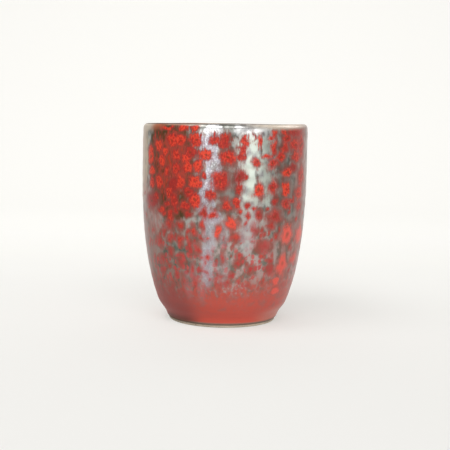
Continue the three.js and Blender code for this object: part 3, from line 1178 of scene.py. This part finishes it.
# %% Spots, thin edges and a painted line of shade on the lip
NEAR_RED, CRIMSON, PALE_CRIMSON = (148, 78, 66), (192, 62, 64), (202, 78, 74)
# The dark edge brown is painted shade along the lip, and darkens the glaze's foot edge.
THIN_CLAY, THIN_BROWN, DARK_EDGE_BROWN = (190, 176, 160), (168, 84, 44), (72, 64, 58)
SPOTS, SPOT_TATTERS = (0.0020, 0.0028), (0.0008, 0.0010)
LOWER_HALF = (0.062, 0.030)


def spots(here, given, depth, pale_and_highlight):
    """Coats for a red halo round each bloom, and for crimson spots low down."""
    calm = given["Calm"]
    near = ease(depth, -1.0, -0.1) * rest(pale_and_highlight * 0.6) * rest(calm * 0.3) * rest(given["Thick_And_Shade"] * 0.4) * 0.78
    distance, which = cells(here.place, *SPOTS)
    spot = fade(distance + drift(here.place, *SPOT_TATTERS) * 0.9, 0.62, 0.30) * ease(which, 0.20, 0.40)
    spot = spot * fade(here.height, *LOWER_HALF) * rest(pale_and_highlight * 0.55) * rest(calm) * 0.85
    return (near, NEAR_RED), (spot, layered(CRIMSON, (ease(which, 0.5, 0.9), PALE_CRIMSON)))


def thin_edges_and_lip_shade(here, given):
    """Coats for clay that shows where the glaze is thin, and for a dark line: painted shade along the lip's
    crest, and a darker foot edge.
    """
    grain = node(tree_of(here.place), "ShaderNodeGroup", {"Place": here.place}, node_tree=grain_group)
    thin = layered(grain["Colour"], (0.5, THIN_CLAY), (given["Thick_And_Shade"], THIN_BROWN))
    return (given["Thin"], thin), (given["Lip_Shade_And_Foot_Edge"] * 0.9, DARK_EDGE_BROWN)


# %% The glaze group
CARRIED = ("Bloom", "Tone", "Heart", "Thick_And_Shade", "Pale_And_Highlight", "Calm", "Blush", "Thin", "Lip_Shade_And_Foot_Edge")
# The silver veil over the pale patches low down is a painted highlight.
BLUSH_RED, PAINTED_HIGHLIGHT_VEIL = (164, 96, 86), (198, 190, 200)
RIGHT_SIDE, HIGHLIGHT_VEIL_DOWN = (0.008, 0.020), (0.066, 0.046)
DULL_LUSTRE, BRIGHT_LUSTRE = 0.45, 0.92
RED_ROUGHNESS, SILVER_ROUGHNESS, THICK_ROUGHNESS, DARK_EDGE_ROUGHNESS = 0.34, 0.28, 0.55, 0.85
RIPPLES, FINE_RIPPLES = (0.003, 0.004), (0.0008, 0.0011)


def crystal_glaze():
    tree, given, gives = new_group(
        "crystal_glaze",
        {"Place": "Vector", **{name: "Float" for name in (*CARRIED, "Satin")}},
        {"Colour": "Color", "Metallic": "Float", "Roughness": "Float", "Height": "Float"})
    here = here_at(given["Place"])
    thick_and_shade = given["Thick_And_Shade"]
    right = ease(here.sideways, *RIGHT_SIDE)
    depth = bloom_depth(here, given["Bloom"])
    red = bloom_share(here, depth, given["Tone"], right)
    # At the front this pale silver is partly painted highlight.
    pale_and_highlight = ragged_edge(here, given["Pale_And_Highlight"])
    haze = fade(here.height, *LOWER_HALF) * rest(pale_and_highlight * 0.85)
    covered = thick_share(here, thick_and_shade)
    satin, blush = satin_and_blush(here, given, pale_and_highlight, right)
    colour = layered(
        silver_paint(here, haze, pale_and_highlight, given["Calm"]),
        (covered, thick_paint(here, thick_and_shade)),
        *spots(here, given, depth, pale_and_highlight),
        (blush * 0.75, BLUSH_RED),
        (satin, satin_paint(here, thick_and_shade)),
        # Painted highlight: a silver veil over the pale patches in the lower half.
        (given["Pale_And_Highlight"] * fade(here.height, *HIGHLIGHT_VEIL_DOWN) * 0.34, PAINTED_HIGHLIGHT_VEIL),
        (red, bloom_paint(here, given, depth, right)),
        *thin_edges_and_lip_shade(here, given),
    )
    fill(gives["Colour"], colour)
    bare = rest(red) * rest(satin) * rest(given["Thin"]) * rest(given["Lip_Shade_And_Foot_Edge"])
    dulled = largest(covered, blush, haze * 0.6)
    fill(gives["Metallic"], bare * rest(dulled) * mix_value(pale_and_highlight, DULL_LUSTRE, BRIGHT_LUSTRE))
    roughness = mix_value(thick_and_shade, mix_value(bare, RED_ROUGHNESS, SILVER_ROUGHNESS), THICK_ROUGHNESS)
    fill(gives["Roughness"], mix_value(given["Lip_Shade_And_Foot_Edge"], roughness, DARK_EDGE_ROUGHNESS))
    relief = red * 0.4 + noise(here.place, *RIPPLES)
    fill(gives["Height"], relief + noise(here.place, *FINE_RIPPLES, detail=3.0) * 0.2)
    return tree


glaze_group = crystal_glaze()
print("crystal glaze:", len(glaze_group.nodes), "nodes")

# %% Glaze materials
SATIN_TATTERS, SATIN_DRIFT = (0.0020, 0.0030), 0.035
FOOT_EDGE_RISE = 0.0012
FOOT_EDGE_DARKENING, LIP_THINNING = 0.7, 0.85
GLAZE_BUMP_STRENGTH, GLAZE_BUMP_DEPTH = 1.0, 0.00006
GLAZE_SPECULAR = 0.3


def glaze(name, satin_top, satin_full, thin_low):
    """A glaze that turns to satin red below satin_top and is thin at the lip and down at thin_low."""
    material, tree, here, surface = new_material(name)
    given = {}
    for layer in CARRIED:
        given[layer] = node(tree, "ShaderNodeAttribute", attribute_name=layer.lower())["Fac"]
    foot_edge = fade(here.height, thin_low + FOOT_EDGE_RISE, thin_low)
    # The lip's painted line of shade is joined by a darker band at the glaze's foot edge.
    given["Lip_Shade_And_Foot_Edge"] = largest(given["Lip_Shade_And_Foot_Edge"], foot_edge * FOOT_EDGE_DARKENING)
    given["Thin"] = largest(given["Thin"] * LIP_THINNING, foot_edge)
    satin_edge = here.height + drift(here.place, *SATIN_TATTERS, detail=3.0) * SATIN_DRIFT
    given["Satin"] = fade(satin_edge, satin_top, satin_full)
    made = node(tree, "ShaderNodeGroup", {"Place": here.place, **given}, node_tree=glaze_group)
    looks = {
        "Base Color": made["Colour"],
        "Metallic": made["Metallic"],
        "Roughness": made["Roughness"],
        "Specular IOR Level": GLAZE_SPECULAR,
    }
    fill_surface(surface, looks, made["Height"], GLAZE_BUMP_STRENGTH, GLAZE_BUMP_DEPTH)
    return material


outer_coat.data.materials.append(glaze("outer_glaze", satin_top=0.029, satin_full=0.012, thin_low=0.0016))
inner_coat.data.materials.append(glaze("inner_glaze", satin_top=0.050, satin_full=0.026, thin_low=0.0))
print("finishes:", outer_coat.active_material.name, "and", inner_coat.active_material.name)

# %% [markdown]
# ## The light
# Two soft boxes stand either side of the camera and draw the upright bands of light on the glaze, and a
# narrow strip at the height of the rim puts a gleam below the lip. A broad panel above the camera lights mug
# and paper, and a lamp high on the left throws the soft shadow to the right. Fills that the gloss doesn't
# mirror lift the right side and the back, a card that only the gloss mirrors edges the silver, and a grey
# room does the rest.

# %% Lights
# Each panel faces the mug, at a turn in degrees round from the camera towards +X
SoftBox = namedtuple("SoftBox", "turn height distance wide tall brightness")
SOFT_BOXES = {
    "left_box": SoftBox(-22, 0.11, 0.8, 0.40, 0.18, 2.4),
    "right_box": SoftBox(32, 0.11, 0.8, 0.46, 0.18, 2.0),
    "top_strip": SoftBox(12, 0.092, 0.8, 0.40, 0.020, 2.5),
    "front_panel": SoftBox(-3, 0.85, 0.80, 1.00, 0.50, 4.2),
    "key_lamp": SoftBox(-60, 0.80, 0.45, 0.40, 0.40, 5.2),
    "right_fill": SoftBox(50, 0.15, 0.8, 0.60, 0.30, 2.8),
    "back_card": SoftBox(112, 0.60, 0.75, 0.60, 0.50, 7.0),
    "back_fill": SoftBox(180, 0.85, 0.60, 0.90, 0.50, 1.6),
}
NOT_MIRRORED = ("right_fill", "back_fill")
ONLY_MIRRORED = ("back_card",)
ROOM_GREY = 0.28

for name, box in SOFT_BOXES.items():
    light = bpy.data.lights.new(name, "AREA")
    light.shape = "RECTANGLE"
    light.size = box.wide
    light.size_y = box.tall
    light.energy = box.brightness * math.pi * box.wide * box.tall
    lamp = bpy.data.objects.new(name, light)
    angle = math.radians(box.turn)
    lamp.location = (box.distance * math.sin(angle), -box.distance * math.cos(angle), box.height)
    target = Vector((0, 0, min(box.height, HEIGHT / 2)))
    lamp.rotation_mode = "QUATERNION"
    lamp.rotation_quaternion = (target - lamp.location).to_track_quat("-Z", "Y")
    lamp.visible_camera = False
    lamp.visible_glossy = name not in NOT_MIRRORED
    lamp.visible_diffuse = name not in ONLY_MIRRORED
    bpy.context.scene.collection.objects.link(lamp)

world = bpy.data.worlds.new("room")
bpy.context.scene.world = world
world.use_nodes = True
background = world.node_tree.nodes["Background"]
background.inputs["Color"].default_value = (ROOM_GREY, ROOM_GREY, ROOM_GREY, 1)
print("lamps:", [lamp.name for lamp in bpy.data.objects if lamp.type == "LIGHT"])

# %% [markdown]
# ## Handing over
# Each piece stands for one CAD node, whose solid it hides, and moves with the mug's only body.

# %% Replace the CAD nodes and finish
for piece, cad_node, finish in (
    (stoneware, "stoneware_body", "clay"),
    (outer_coat, "outer_glaze", "outer_glaze"),
    (inner_coat, "inner_glaze", "inner_glaze"),
):
    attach(piece, "root")
    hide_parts(cad_node)
